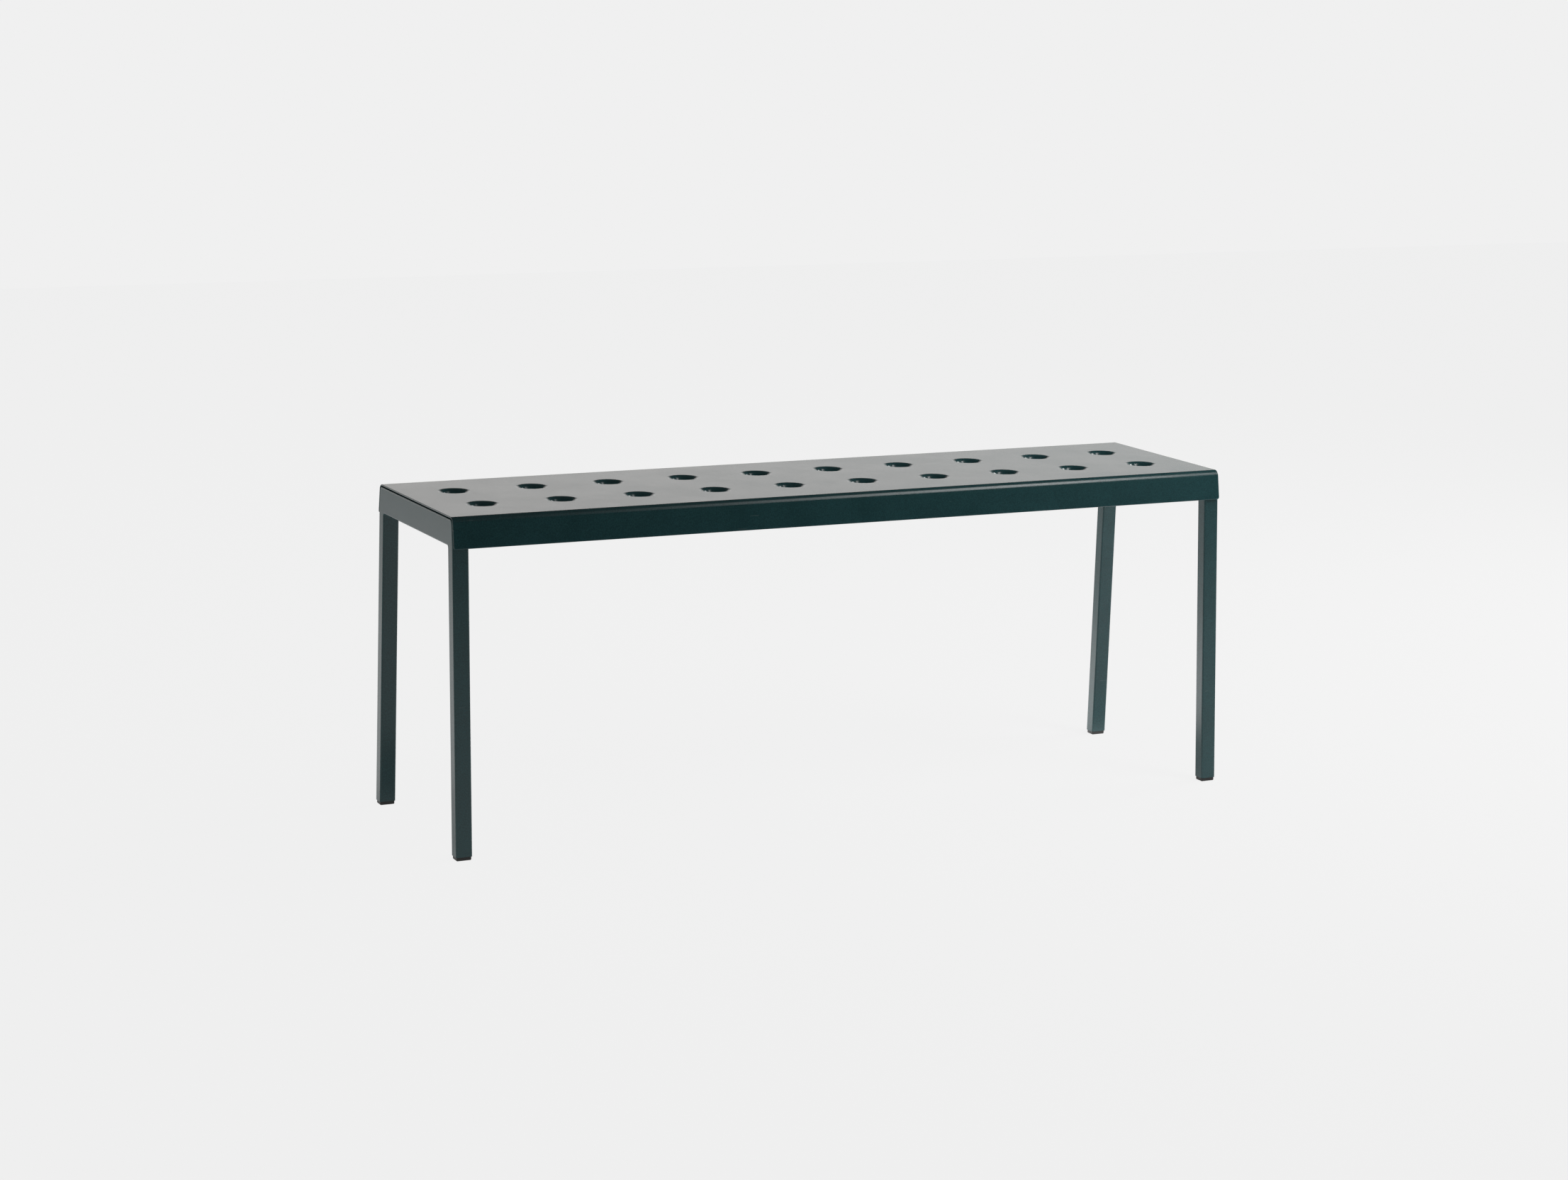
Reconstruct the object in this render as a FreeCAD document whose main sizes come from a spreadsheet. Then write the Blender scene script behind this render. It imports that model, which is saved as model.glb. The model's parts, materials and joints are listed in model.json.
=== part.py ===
import FreeCAD, Part
import math
import os
import Sketcher

# Backless bench: a folded seat sheet on two inverted-U end frames.
# X runs along the bench, Y across it and Z up. The origin is on the floor below the bench's middle.

DIMENSIONS = {
    # the whole bench
    "overall_height": 450.0,
    "frame_length": 1157.0,
    "stance_depth": 328.0,
    # seat sheet
    "seat_length": 1156.0,
    "seat_depth": 304.0,
    "sheet_gauge": 2.0,
    "skirt_drop": 41.0,
    "skirt_lean": 8.0,
    "fold_radius": 9.0,
    "skirt_corner_radius": 3.0,
    # drain holes: a grid of them, each drawn down in a soft lip
    "hole_columns": 10,
    "hole_rows": 2,
    "hole_pitch": 112.0,
    "row_spacing": 110.0,
    "lip_diameter": 46.0,
    "lip_radius": 8.5,
    "throat_drop": 1.5,
    # end frames
    "tube_width": 22.5,
    "tube_depth": 18.0,
    "tube_wall": 1.5,
    "tube_corner_radius": 2.0,
    "leg_splay": 2.3,
    "head_depth": 39.0,
    "head_wall": 3.0,
    "head_joint_height": 405.0,
    "head_shoulder_height": 413.0,
    "head_clearance": 1.0,
    "head_corner_radius": 6.0,
    "inner_corner_radius": 3.5,
    # feet
    "foot_height": 5.0,
    "foot_inset": 1.0,
    "foot_edge_radius": 1.5,
    "plug_length": 20.0,
    "plug_clearance": 0.2,
    # stiffener under the seat
    "hat_gauge": 1.5,
    "hat_drop": 20.0,
    "hat_crown_width": 32.0,
    "hat_side_run": 4.0,
    "hat_flange_width": 11.5,
    "hat_bend_radius": 2.0,
    "hat_end_gap": 3.0,
    # fixings between the seat and the end frames
    "fixing_spread": 200.0,
    "fixing_inset": 15.0,
    "pad_gauge": 1.5,
    "pad_setback": 7.0,
    "pad_length": 41.0,
    "pad_width": 40.0,
    "pad_bore": 8.5,
    "tab_gauge": 3.0,
    "tab_reach": 28.0,
    "tab_width": 36.0,
    "tab_drop": 26.0,
    "tab_bend_radius": 2.0,
    "tab_corner_radius": 6.0,
    "tab_bore": 7.0,
    "stud_diameter": 6.0,
    "stud_length": 17.0,
    "stud_root_diameter": 7.5,
    "stud_root_gauge": 1.0,
    "washer_diameter": 14.0,
    "washer_bore": 6.6,
    "washer_gauge": 1.6,
    "nut_across_corners": 11.5,
    "nut_thickness": 6.0,
}

# Which way each end lies along X, and how far each side's pieces are turned about Z:
# frame pieces are drawn on the +Y side, and tabs for the +X end.
ENDS = {"left": -1, "right": 1}
SIDE_TURNS = {"front": 180.0, "rear": 0.0}
END_TURNS = {"left": 180.0, "right": 0.0}


class Size:
    """A length or angle: its value now, and the sheet expression that gives it."""

    def __init__(self, value, text):
        self.value = float(value)
        self.text = text

    def __add__(self, other):
        return Size(self.value + as_size(other).value, f"({self.text} + {as_size(other).text})")

    def __sub__(self, other):
        return Size(self.value - as_size(other).value, f"({self.text} - {as_size(other).text})")

    def __mul__(self, other):
        return Size(self.value * as_size(other).value, f"({self.text} * {as_size(other).text})")

    def __truediv__(self, other):
        return Size(self.value / as_size(other).value, f"({self.text} / {as_size(other).text})")

    def __neg__(self):
        return Size(-self.value, f"(0 - {self.text})")


def as_size(number):
    return number if isinstance(number, Size) else Size(number, str(float(number)))


def tan(angle):
    return Size(math.tan(math.radians(angle.value)), f"tan({angle.text})")


def cos(angle):
    return Size(math.cos(math.radians(angle.value)), f"cos({angle.text})")


def make_sheet(document):
    """Puts the driving dimensions in a spreadsheet and returns them as sizes."""
    sheet = document.addObject("Spreadsheet::Sheet", "dimensions")
    sizes = {}
    for row, (alias, number) in enumerate(DIMENSIONS.items(), start=1):
        sheet.set(f"A{row}", alias)
        sheet.set(f"B{row}", str(number))
        sheet.setAlias(f"B{row}", alias)
        sizes[alias] = Size(number, f"{sheet.Name}.{alias}")
    document.recompute()
    return sizes


doc = FreeCAD.newDocument("backless_bench")
D = make_sheet(doc)

# Heights and places that several pieces share.
FLOOR = as_size(0)
SEAT_TOP = D["overall_height"]
SEAT_UNDERSIDE = SEAT_TOP - D["sheet_gauge"]
SKIRT_BOTTOM = SEAT_TOP - D["skirt_drop"]
SKIRT_THICKNESS = D["sheet_gauge"] / cos(D["skirt_lean"])
FRAME_TOP = SEAT_UNDERSIDE - D["pad_gauge"]
HEAD_BOTTOM = SEAT_TOP - D["head_depth"]
FRAME_CENTRE_X = (D["frame_length"] - D["tube_width"]) / 2
FRAME_INNER_X = D["frame_length"] / 2 - D["tube_width"]
FIXING_X = FRAME_INNER_X - D["fixing_inset"]
FIXING_Y = D["fixing_spread"] / 2


# ---------------------------------------------------------------- tools

def bind(item, **bindings):
    """Sets each property to its size now and ties it to the sheet."""
    for name, size in bindings.items():
        setattr(item, name, size.value)
        item.setExpression(name, size.text)


def place(item, x=FLOOR, y=FLOOR, z=FLOOR, turn=0.0):
    """Puts an item at a place tied to the sheet, turned about Z by a number of degrees."""
    spot = {"x": x, "y": y, "z": z}
    base = FreeCAD.Vector(*(size.value for size in spot.values()))
    item.Placement = FreeCAD.Placement(base, FreeCAD.Rotation(FreeCAD.Vector(0, 0, 1), turn))
    for axis, size in spot.items():
        item.setExpression(f"Placement.Base.{axis}", size.text)


def add_part(kind, name, **bindings):
    """Adds a Part primitive or boolean whose sizes are tied to the sheet."""
    item = doc.addObject(f"Part::{kind}", name)
    bind(item, **bindings)
    return item


def new_body(label):
    body = doc.addObject("PartDesign::Body", label)
    body.Label = label
    return body


def origin_feature(body, role):
    return next(item for item in body.Origin.OriginFeatures if item.Role == role)


def new_sketch(body, name, plane):
    sketch = body.newObject("Sketcher::SketchObject", f"{body.Name}_{name}")
    sketch.AttachmentSupport = [(origin_feature(body, plane), "")]
    sketch.MapMode = "FlatFace"
    return sketch


def as_point(across, up):
    return FreeCAD.Vector(across.value, up.value, 0)


def pin_point(sketch, geometry, end, across, up):
    """Holds one point of a sketch at a place tied to the sheet."""
    for kind, size in (("DistanceX", across), ("DistanceY", up)):
        constraint = Sketcher.Constraint(kind, -1, 1, geometry, end, size.value)
        index = sketch.addConstraint(constraint)
        sketch.setExpression(f"Constraints[{index}]", size.text)


def draw_outline(sketch, corners):
    """Draws a closed outline of straight lines through its corners."""
    points = [as_point(*corner) for corner in corners]
    for index, point in enumerate(points):
        sketch.addGeometry(Part.LineSegment(point, points[(index + 1) % len(points)]), False)
    for index, corner in enumerate(corners):
        previous = (index - 1) % len(corners)
        sketch.addConstraint(Sketcher.Constraint("Coincident", previous, 2, index, 1))
        pin_point(sketch, index, 1, *corner)


def draw_circle(sketch, across, up, diameter):
    circle = Part.Circle(as_point(across, up), FreeCAD.Vector(0, 0, 1), diameter.value / 2)
    geometry = sketch.addGeometry(circle, False)
    pin_point(sketch, geometry, 3, across, up)
    index = sketch.addConstraint(Sketcher.Constraint("Diameter", geometry, diameter.value))
    sketch.setExpression(f"Constraints[{index}]", diameter.text)


def both_sides(half):
    """A symmetrical outline, from the corners of its +Y side in order."""
    return half + [(-across, up) for across, up in reversed(half)]


def add_pad(body, sketch, name, length):
    """Thickens a sketch by half the length to each side."""
    pad = body.newObject("PartDesign::Pad", f"{body.Name}_{name}")
    pad.Profile = sketch
    pad.SideType = "Symmetric"
    bind(pad, Length=length)
    doc.recompute()
    return pad


def add_pocket(body, sketch, name, length):
    """Cuts a sketch out by half the length to each side, and checks that something went."""
    before = body.Shape.Volume
    pocket = body.newObject("PartDesign::Pocket", f"{body.Name}_{name}")
    pocket.Profile = sketch
    pocket.SideType = "Symmetric"
    bind(pocket, Length=length)
    doc.recompute()
    if body.Shape.Volume >= before:
        raise RuntimeError(f"{pocket.Name} cuts nothing")
    return pocket


def add_fillet(body, name, radius, wanted):
    """Rounds the edges of a body so far for which wanted(edge) is true."""
    base = body.Tip
    names = [f"Edge{i}" for i, edge in enumerate(base.Shape.Edges, start=1) if wanted(edge)]
    if not names:
        raise RuntimeError(f"{body.Name}_{name} finds no edge")
    fillet = body.newObject("PartDesign::Fillet", f"{body.Name}_{name}")
    fillet.Base = (base, names)
    bind(fillet, Radius=radius)
    doc.recompute()
    return fillet


def near(value, size):
    return abs(value - size.value) < 0.01


def edge_ends(edge):
    return [vertex.Point for vertex in edge.Vertexes]


def along_x_at(across, up):
    """A test for the edges that run along X at a distance either side of Y = 0, at a height."""
    def wanted(edge):
        ends = edge_ends(edge)
        runs_along_x = len(ends) == 2 and abs(ends[0].x - ends[1].x) > edge.Length / 2
        return runs_along_x and all(near(abs(p.y), across) and near(p.z, up) for p in ends)
    return wanted


# ---------------------------------------------------------------- shared outlines

def skirt_face_y(height, behind=FLOOR):
    """Half the seat's depth at a height, to this far inside the skirt's outer face."""
    return D["seat_depth"] / 2 - (height - SKIRT_BOTTOM) * tan(D["skirt_lean"]) - behind


def leg_face_y(height, behind=FLOOR):
    """Half the stance at a height, to this far inside the leg's outer face."""
    return D["stance_depth"] / 2 - height * tan(D["leg_splay"]) - behind


def leg_inner_y(height, beyond=FLOOR):
    """Half the space between a frame's two legs at a height, and this far into the leg."""
    return leg_face_y(height, D["tube_depth"]) + beyond


HEAD_END_Y = skirt_face_y(FRAME_TOP, SKIRT_THICKNESS + D["head_clearance"])


# ---------------------------------------------------------------- seat sheet

def make_seat_panel():
    """One sheet folded down along both long sides, pierced by a grid of drawn drain holes."""
    body = new_body("seat_panel")
    outer_fold = skirt_face_y(SEAT_TOP)
    inner_fold = skirt_face_y(SEAT_UNDERSIDE, SKIRT_THICKNESS)
    section = new_sketch(body, "section", "YZ_Plane")
    draw_outline(section, both_sides([
        (inner_fold, SEAT_UNDERSIDE),
        (skirt_face_y(SKIRT_BOTTOM, SKIRT_THICKNESS), SKIRT_BOTTOM),
        (skirt_face_y(SKIRT_BOTTOM), SKIRT_BOTTOM),
        (outer_fold, SEAT_TOP),
    ]))
    add_pad(body, section, "sheet", D["seat_length"])
    add_fillet(body, "fold_outside", D["fold_radius"], along_x_at(outer_fold, SEAT_TOP))
    add_fillet(body, "fold_inside", D["fold_radius"] - D["sheet_gauge"],
               along_x_at(inner_fold, SEAT_UNDERSIDE))

    def is_skirt_corner(edge):
        at_bottom = all(near(point.z, SKIRT_BOTTOM) for point in edge_ends(edge))
        return at_bottom and edge.Length < SKIRT_THICKNESS.value * 2

    add_fillet(body, "skirt_corners", D["skirt_corner_radius"], is_skirt_corner)
    repeat_over_grid(body, [cut_first_hole(body), draw_first_lip(body)])


def first_hole():
    """The axis of the hole that the grid starts from."""
    return -(D["hole_pitch"] * (D["hole_columns"] - 1) / 2), -(D["row_spacing"] / 2)


def cut_first_hole(body):
    before = body.Shape.Volume
    sketch = new_sketch(body, "hole_blank", "XY_Plane")
    draw_circle(sketch, *first_hole(), D["lip_diameter"])
    pocket = body.newObject("PartDesign::Pocket", f"{body.Name}_hole")
    pocket.Profile = sketch
    pocket.Type = "ThroughAll"
    pocket.Reversed = True
    doc.recompute()
    if body.Shape.Volume >= before:
        raise RuntimeError("the drain hole cuts nothing")
    return pocket


def draw_first_lip(body):
    """The first hole's lip: the sheet turns down through a quarter circle to a short throat."""
    hole_x, hole_y = first_hole()
    sketch = new_sketch(body, "lip_section", "XZ_Plane")
    offset = FreeCAD.Vector(hole_x.value, 0, -hole_y.value)
    sketch.AttachmentOffset = FreeCAD.Placement(offset, FreeCAD.Rotation())
    sketch.setExpression("AttachmentOffset.Base.x", hole_x.text)
    sketch.setExpression("AttachmentOffset.Base.z", (-hole_y).text)

    rim = D["lip_diameter"] / 2
    throat = rim - D["lip_radius"]
    bend_height = SEAT_TOP - D["lip_radius"]
    throat_end = bend_height - D["throat_drop"]
    centre = as_point(rim, bend_height)
    rim_top = (rim, SEAT_TOP)
    rim_under = (rim, SEAT_UNDERSIDE)
    wall_top = (throat, bend_height)
    wall_end = (throat, throat_end)
    back_end = (throat + D["sheet_gauge"], throat_end)
    back_top = (throat + D["sheet_gauge"], bend_height)

    for start, end in ((rim_top, wall_top), (rim_under, back_top)):
        radius = (as_point(*start) - centre).Length
        circle = Part.Circle(centre, FreeCAD.Vector(0, 0, 1), radius)
        arc = sketch.addGeometry(Part.ArcOfCircle(circle, math.pi / 2, math.pi), False)
        pin_point(sketch, arc, 1, *start)
        pin_point(sketch, arc, 2, *end)
        level = Sketcher.Constraint("DistanceY", -1, 1, arc, 3, bend_height.value)
        index = sketch.addConstraint(level)
        sketch.setExpression(f"Constraints[{index}]", bend_height.text)
    lines = ((wall_top, wall_end), (wall_end, back_end), (back_end, back_top), (rim_under, rim_top))
    for start, end in lines:
        line = sketch.addGeometry(Part.LineSegment(as_point(*start), as_point(*end)), False)
        pin_point(sketch, line, 1, *start)
        pin_point(sketch, line, 2, *end)

    lip = body.newObject("PartDesign::Revolution", f"{body.Name}_lip")
    lip.Profile = sketch
    lip.ReferenceAxis = (sketch, ["V_Axis"])
    lip.Angle = 360
    doc.recompute()
    return lip


def repeat_over_grid(body, features):
    grid = body.newObject("PartDesign::LinearPattern", f"{body.Name}_hole_grid")
    grid.Originals = features
    grid.Direction = (origin_feature(body, "X_Axis"), [""])
    grid.Direction2 = (origin_feature(body, "Y_Axis"), [""])
    bind(grid, Length=D["hole_pitch"] * (D["hole_columns"] - 1), Length2=D["row_spacing"])
    grid.Occurrences = DIMENSIONS["hole_columns"]
    grid.setExpression("Occurrences", D["hole_columns"].text)
    grid.Occurrences2 = DIMENSIONS["hole_rows"]
    grid.setExpression("Occurrences2", D["hole_rows"].text)
    body.Tip = grid
    doc.recompute()


def make_centre_stiffener():
    """A hat-section channel, flanges up against the seat's underside, between the rows of holes."""
    body = new_body("centre_stiffener")
    gauge = D["hat_gauge"]
    crown = SEAT_UNDERSIDE - D["hat_drop"]

    def side_y(height, behind=FLOOR):
        slope = D["hat_side_run"] / D["hat_drop"]
        return D["hat_crown_width"] / 2 + (height - crown) * slope - behind

    crown_inside = crown + gauge
    flange_under = SEAT_UNDERSIDE - gauge
    flange_tip = side_y(SEAT_UNDERSIDE) + D["hat_flange_width"]
    crown_outer = (side_y(crown), crown)
    crown_inner = (side_y(crown_inside, gauge), crown_inside)
    flange_outer = (side_y(SEAT_UNDERSIDE, gauge), SEAT_UNDERSIDE)
    flange_inner = (side_y(flange_under), flange_under)
    section = new_sketch(body, "section", "YZ_Plane")
    draw_outline(section, both_sides([
        crown_inner,
        flange_outer,
        (flange_tip, SEAT_UNDERSIDE),
        (flange_tip, flange_under),
        flange_inner,
        crown_outer,
    ]))
    add_pad(body, section, "channel", (FRAME_INNER_X - D["hat_end_gap"]) * 2)
    outside_radius = D["hat_bend_radius"] + gauge
    add_fillet(body, "crown_outside", outside_radius, along_x_at(*crown_outer))
    add_fillet(body, "crown_inside", D["hat_bend_radius"], along_x_at(*crown_inner))
    add_fillet(body, "flange_outside", outside_radius, along_x_at(*flange_outer))
    add_fillet(body, "flange_inside", D["hat_bend_radius"], along_x_at(*flange_inner))


# ---------------------------------------------------------------- end frames

def make_end_rail(end, sign):
    """The head of an end frame: a flat box with the two corners that the legs are welded to."""
    body = new_body(f"end_rail_{end}")
    joint = D["head_joint_height"]
    shoulder = D["head_shoulder_height"]
    outline = new_sketch(body, "outline", "YZ_Plane")
    draw_outline(outline, both_sides([
        (leg_inner_y(HEAD_BOTTOM), HEAD_BOTTOM),
        (leg_inner_y(joint), joint),
        (leg_face_y(joint), joint),
        (leg_face_y(shoulder), shoulder),
        (HEAD_END_Y, FRAME_TOP),
    ]))
    add_pad(body, outline, "blank", D["tube_width"])
    add_fillet(body, "head_corners", D["head_corner_radius"], along_x_at(HEAD_END_Y, FRAME_TOP))
    add_fillet(body, "inner_corners", D["inner_corner_radius"],
               along_x_at(leg_inner_y(HEAD_BOTTOM), HEAD_BOTTOM))

    def is_contour(edge):
        """The edges of both flat faces, apart from those at the legs' joints."""
        ends = edge_ends(edge)
        on_face = all(near(abs(point.x), D["tube_width"] / 2) for point in ends)
        return on_face and not all(near(point.z, joint) for point in ends)

    add_fillet(body, "contour", D["tube_corner_radius"], is_contour)
    wall = D["tube_wall"]
    head_wall = D["head_wall"]
    opening = joint - wall
    cavity = new_sketch(body, "cavity", "YZ_Plane")
    draw_outline(cavity, both_sides([
        (leg_inner_y(HEAD_BOTTOM, wall), HEAD_BOTTOM + head_wall),
        (leg_inner_y(opening, wall), opening),
        (leg_face_y(opening, wall), opening),
        (HEAD_END_Y - head_wall, FRAME_TOP - head_wall),
    ]))
    add_pocket(body, cavity, "hollow", D["tube_width"] - wall * 2)
    place(body, x=FRAME_CENTRE_X * sign)


def leg_outline(bottom, top, inset):
    """The four corners of a length of leg seen along X, this far inside its faces."""
    return [
        (leg_inner_y(top, inset), top),
        (leg_inner_y(bottom, inset), bottom),
        (leg_face_y(bottom, inset), bottom),
        (leg_face_y(top, inset), top),
    ]


def make_leg(side, end, sign):
    """A rectangular tube from the head down to the foot, cut level at both ends."""
    body = new_body(f"leg_{side}_{end}")
    bottom = D["foot_height"]
    top = D["head_joint_height"]
    wall = D["tube_wall"]
    outline = new_sketch(body, "outline", "YZ_Plane")
    draw_outline(outline, leg_outline(bottom, top, FLOOR))
    add_pad(body, outline, "tube", D["tube_width"])
    add_fillet(body, "corners", D["tube_corner_radius"], lambda edge: edge.Length > top.value / 2)
    cavity = new_sketch(body, "cavity", "YZ_Plane")
    draw_outline(cavity, leg_outline(bottom - wall, top + wall, wall))
    add_pocket(body, cavity, "bore", D["tube_width"] - wall * 2)
    place(body, x=FRAME_CENTRE_X * sign, turn=SIDE_TURNS[side])


def make_foot(side, end, sign):
    """A plastic insert: a block under the leg's end, and a plug up inside the tube."""
    body = new_body(f"foot_{side}_{end}")
    top = D["foot_height"]
    block = new_sketch(body, "block_side", "YZ_Plane")
    draw_outline(block, leg_outline(FLOOR, top, D["foot_inset"]))
    add_pad(body, block, "block", D["tube_width"] - D["foot_inset"] * 2)

    def is_upright(edge):
        heights = [point.z for point in edge_ends(edge)]
        return max(heights) - min(heights) > top.value / 2

    add_fillet(body, "block_corners", D["foot_edge_radius"], is_upright)
    add_fillet(body, "tread_edge", D["foot_edge_radius"],
               lambda edge: all(near(point.z, FLOOR) for point in edge_ends(edge)))
    inside = D["tube_wall"] + D["plug_clearance"]
    plug = new_sketch(body, "plug_side", "YZ_Plane")
    draw_outline(plug, leg_outline(top, top + D["plug_length"], inside))
    add_pad(body, plug, "plug", D["tube_width"] - inside * 2)
    place(body, x=FRAME_CENTRE_X * sign, turn=SIDE_TURNS[side])


def make_fixing_tab(side, end, sign):
    """An angle bracket welded to the head's inner face, its top level with the head's top."""
    body = new_body(f"fixing_tab_{side}_{end}")
    gauge = D["tab_gauge"]
    under = FRAME_TOP - gauge
    section = new_sketch(body, "section", "XZ_Plane")
    draw_outline(section, [
        (-D["tab_reach"], FRAME_TOP),
        (FLOOR, FRAME_TOP),
        (FLOOR, FRAME_TOP - D["tab_drop"]),
        (-gauge, FRAME_TOP - D["tab_drop"]),
        (-gauge, under),
        (-D["tab_reach"], under),
    ])
    add_pad(body, section, "angle", D["tab_width"])

    def along_y_at(across, up):
        return lambda edge: all(near(p.x, across) and near(p.z, up) for p in edge_ends(edge))

    add_fillet(body, "bend_outside", D["tab_bend_radius"] + gauge, along_y_at(FLOOR, FRAME_TOP))
    add_fillet(body, "bend_inside", D["tab_bend_radius"], along_y_at(-gauge, under))

    def is_free_corner(edge):
        ends = edge_ends(edge)
        upright = abs(ends[0].z - ends[-1].z) > gauge.value / 2
        return upright and all(near(point.x, -D["tab_reach"]) for point in ends)

    add_fillet(body, "free_corners", D["tab_corner_radius"], is_free_corner)
    bore = new_sketch(body, "bore", "XY_Plane")
    draw_circle(bore, -D["fixing_inset"], FLOOR, D["tab_bore"])
    add_pocket(body, bore, "bore_cut", SEAT_TOP * 2)
    fixing_y = FIXING_Y if side == "rear" else -FIXING_Y
    place(body, x=FRAME_INNER_X * sign, y=fixing_y, turn=END_TURNS[end])


# ---------------------------------------------------------------- fixings

def make_group(label, make_one, end, sign):
    """One node of two equal pieces, at the front and the rear fixing of an end."""
    group = doc.addObject("Part::Compound", label)
    group.Label = label
    group.Links = [
        make_one(f"{label}_front", FIXING_X * sign, -FIXING_Y, sign),
        make_one(f"{label}_rear", FIXING_X * sign, FIXING_Y, sign),
    ]


def make_ring(name, x, y, bottom, height, diameter, bore):
    """A disc with a hole through it."""
    disc = add_part("Cylinder", f"{name}_disc", Radius=diameter / 2, Height=height)
    hole = add_part("Cylinder", f"{name}_hole", Radius=bore / 2, Height=height)
    place(disc, x, y, bottom)
    place(hole, x, y, bottom)
    return cut(name, disc, hole)


def cut(name, blank, tool):
    result = doc.addObject("Part::Cut", name)
    result.Base = blank
    result.Tool = tool
    return result


def make_stud(name, x, y, sign):
    """A stud welded to the seat's underside by a thin round root."""
    root = add_part("Cylinder", f"{name}_root",
                    Radius=D["stud_root_diameter"] / 2, Height=D["stud_root_gauge"])
    shank = add_part("Cylinder", f"{name}_shank",
                     Radius=D["stud_diameter"] / 2, Height=D["stud_length"])
    place(root, x, y, SEAT_UNDERSIDE - D["stud_root_gauge"])
    place(shank, x, y, SEAT_UNDERSIDE - D["stud_length"])
    stud = doc.addObject("Part::Fuse", name)
    stud.Base = root
    stud.Tool = shank
    return stud


def make_washer(name, x, y, sign):
    bottom = FRAME_TOP - D["tab_gauge"] - D["washer_gauge"]
    return make_ring(name, x, y, bottom, D["washer_gauge"], D["washer_diameter"], D["washer_bore"])


def make_lock_nut(name, x, y, sign):
    """A hexagonal nut, its bore filled by the stud."""
    bottom = FRAME_TOP - D["tab_gauge"] - D["washer_gauge"] - D["nut_thickness"]
    blank = add_part("Prism", f"{name}_hexagon",
                     Circumradius=D["nut_across_corners"] / 2, Height=D["nut_thickness"])
    hole = add_part("Cylinder", f"{name}_hole",
                    Radius=D["stud_diameter"] / 2, Height=D["nut_thickness"])
    place(blank, x, y, bottom)
    place(hole, x, y, bottom)
    return cut(name, blank, hole)


def make_seat_pad(name, x, y, sign):
    """A thin pad between the seat and the frame, which lies on both the head and the tab."""
    outer_x = D["frame_length"] / 2 - D["pad_setback"]
    low_x = outer_x - D["pad_length"] if sign > 0 else -outer_x
    blank = add_part("Box", f"{name}_strip",
                     Length=D["pad_length"], Width=D["pad_width"], Height=D["pad_gauge"])
    hole = add_part("Cylinder", f"{name}_hole", Radius=D["pad_bore"] / 2, Height=D["pad_gauge"])
    place(blank, low_x, y - D["pad_width"] / 2, FRAME_TOP)
    place(hole, x, y, FRAME_TOP)
    return cut(name, blank, hole)


# ---------------------------------------------------------------- assembly

def make_bench():
    make_seat_panel()
    make_centre_stiffener()
    for end, sign in ENDS.items():
        make_end_rail(end, sign)
        for side in SIDE_TURNS:
            make_leg(side, end, sign)
            make_foot(side, end, sign)
            make_fixing_tab(side, end, sign)
        make_group(f"weld_studs_{end}", make_stud, end, sign)
        make_group(f"washers_{end}", make_washer, end, sign)
        make_group(f"lock_nuts_{end}", make_lock_nut, end, sign)
        make_group(f"seat_pads_{end}", make_seat_pad, end, sign)
    doc.recompute()


def sub_parts():
    """The objects that are whole pieces of the bench, one for each node."""
    return [item for item in doc.Objects if item.TypeId in ("PartDesign::Body", "Part::Compound")]


def check_document():
    for item in doc.Objects:
        if "Invalid" in item.State or "Error" in item.State:
            raise RuntimeError(f"{item.Name} failed: {item.State}")
    for item in sub_parts():
        if item.Shape.isNull() or not item.Shape.isValid() or not item.Shape.Solids:
            raise RuntimeError(f"{item.Label} has no valid solid")


def write_parts():
    os.makedirs("parts", exist_ok=True)
    for item in sub_parts():
        item.Shape.exportStep(f"parts/{item.Label}.step")
        box = item.Shape.BoundBox
        print(f"{item.Label}: {len(item.Shape.Solids)} solid(s), {item.Shape.Volume / 1000:.1f} cm3, "
              f"z {box.ZMin:.2f} to {box.ZMax:.2f}")


make_bench()
check_document()
write_parts()
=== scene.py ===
import json
import math

import bmesh
import bpy
from mathutils import Matrix, Vector

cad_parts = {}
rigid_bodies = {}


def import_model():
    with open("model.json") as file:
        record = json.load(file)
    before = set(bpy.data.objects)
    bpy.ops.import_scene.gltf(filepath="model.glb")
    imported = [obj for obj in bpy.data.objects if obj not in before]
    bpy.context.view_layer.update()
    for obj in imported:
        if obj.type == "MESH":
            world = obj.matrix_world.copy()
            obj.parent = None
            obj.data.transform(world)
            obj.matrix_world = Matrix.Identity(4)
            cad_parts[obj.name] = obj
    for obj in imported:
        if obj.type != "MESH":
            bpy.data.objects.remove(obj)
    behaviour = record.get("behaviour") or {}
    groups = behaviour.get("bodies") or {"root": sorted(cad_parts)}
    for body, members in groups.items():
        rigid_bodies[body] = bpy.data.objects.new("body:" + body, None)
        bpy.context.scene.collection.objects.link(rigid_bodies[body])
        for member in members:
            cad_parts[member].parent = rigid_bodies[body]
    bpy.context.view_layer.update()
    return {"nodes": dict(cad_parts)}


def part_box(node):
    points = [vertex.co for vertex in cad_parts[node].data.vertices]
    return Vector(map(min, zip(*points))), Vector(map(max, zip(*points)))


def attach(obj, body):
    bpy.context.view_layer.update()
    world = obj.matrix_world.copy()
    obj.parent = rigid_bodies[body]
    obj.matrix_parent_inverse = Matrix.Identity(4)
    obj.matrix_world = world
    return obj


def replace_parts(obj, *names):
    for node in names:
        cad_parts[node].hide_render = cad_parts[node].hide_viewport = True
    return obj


for leftover in list(bpy.data.objects):
    bpy.data.objects.remove(leftover, do_unlink=True)
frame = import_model()
scene = bpy.context.scene
scene.view_settings.view_transform = "Standard"

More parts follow.
